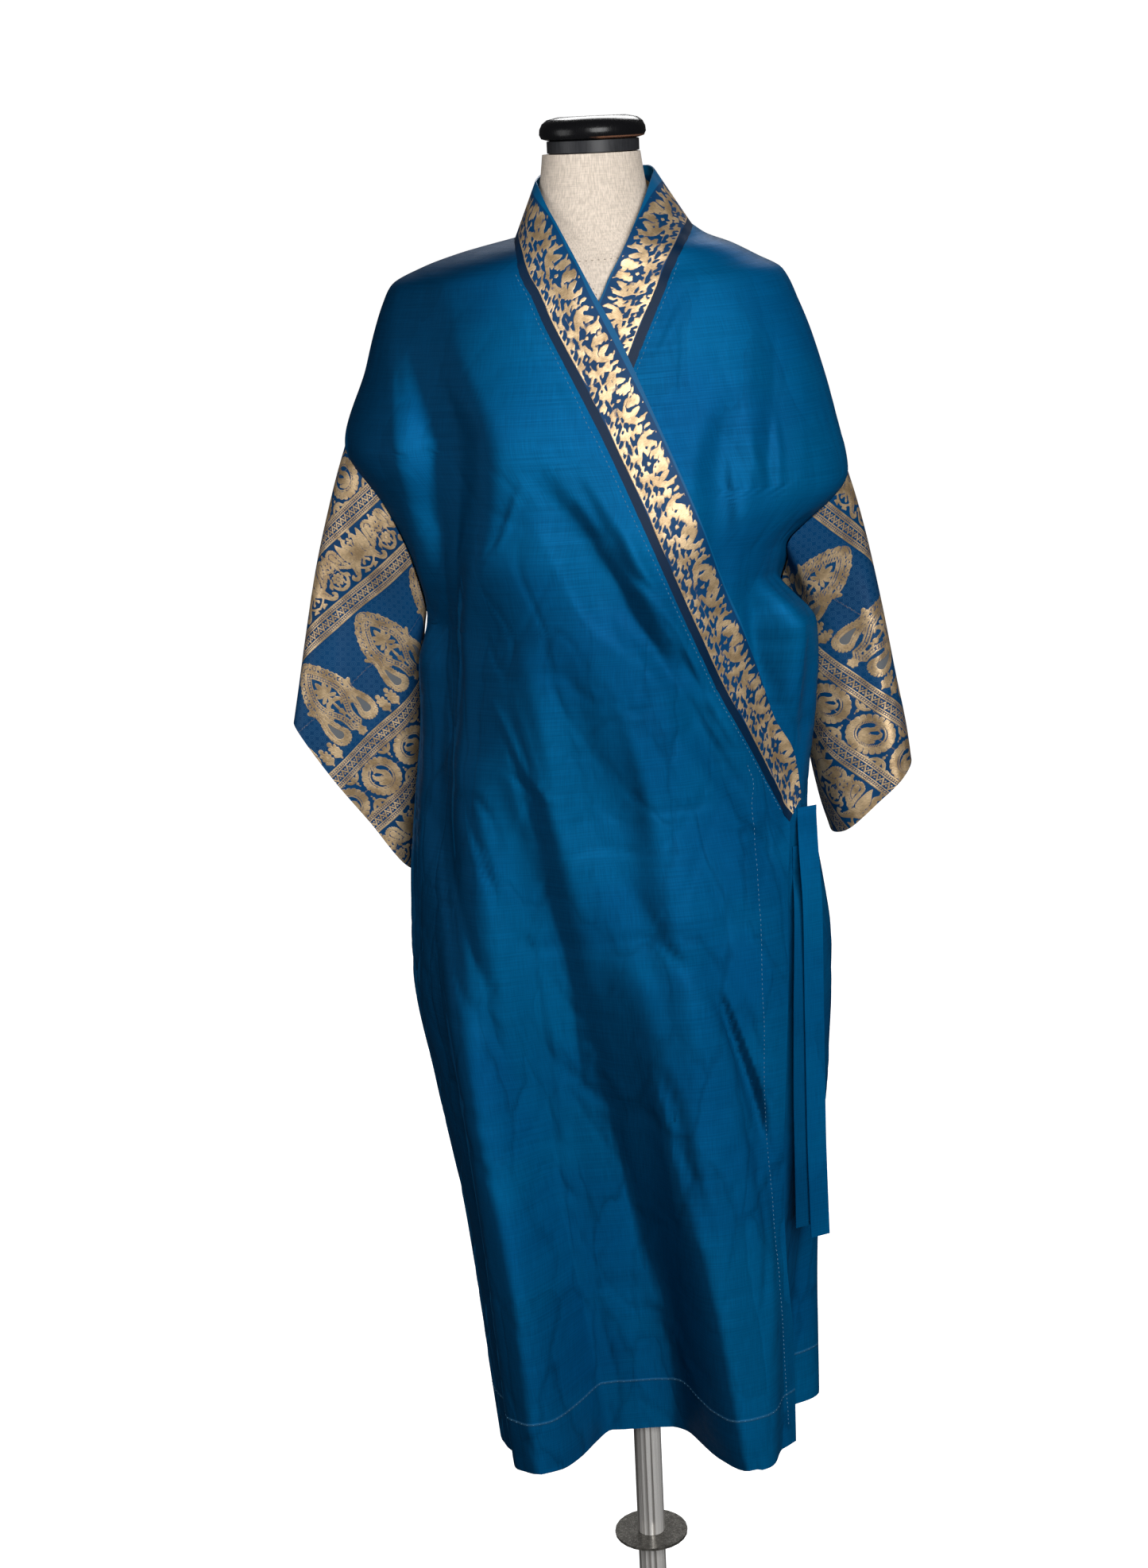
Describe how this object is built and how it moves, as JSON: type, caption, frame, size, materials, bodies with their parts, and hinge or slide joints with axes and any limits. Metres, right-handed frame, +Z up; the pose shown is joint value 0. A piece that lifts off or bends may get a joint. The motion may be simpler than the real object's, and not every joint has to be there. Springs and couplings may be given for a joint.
{
  "type": "kimono robe on a dress form",
  "caption": "Calf-length wrap kimono robe in shot silk with brocade neckband and sleeves, worn on a limbless dress form on a pole with a round base.",
  "frame": {"origin": "middle of the base plate's underside, on the pole's axis", "axes": "+Z up along the pole; the robe's front faces -Y; +X is the viewer's right, which is the wearer's left"},
  "size_m": [0.6396, 0.36, 1.7385],
  "materials": {
    "silk": "smooth shot silk, teal blue with a violet and a green cast and a soft sheen",
    "brocade": "dull gold metal-thread brocade on the same blue silk",
    "linen": "plain-woven unbleached linen, matt",
    "lacquer": "turned wood under gloss black lacquer, worn at the lower edge",
    "steel": "brushed steel"
  },
  "bodies": {
    "root": {"back": "silk", "right_front": "silk", "left_front": "silk", "right_sleeve": "brocade", "left_sleeve": "brocade", "neckband_right": "brocade", "neckband_left": "brocade", "tie_front": "silk", "tie_under": "silk", "form_body": "linen", "cap_ring": "lacquer", "cap_bun": "lacquer", "pole": "steel", "pole_disc": "steel", "pole_lower": "steel", "base_socket": "steel", "base_plate": "steel"}
  },
  "joints": []
}
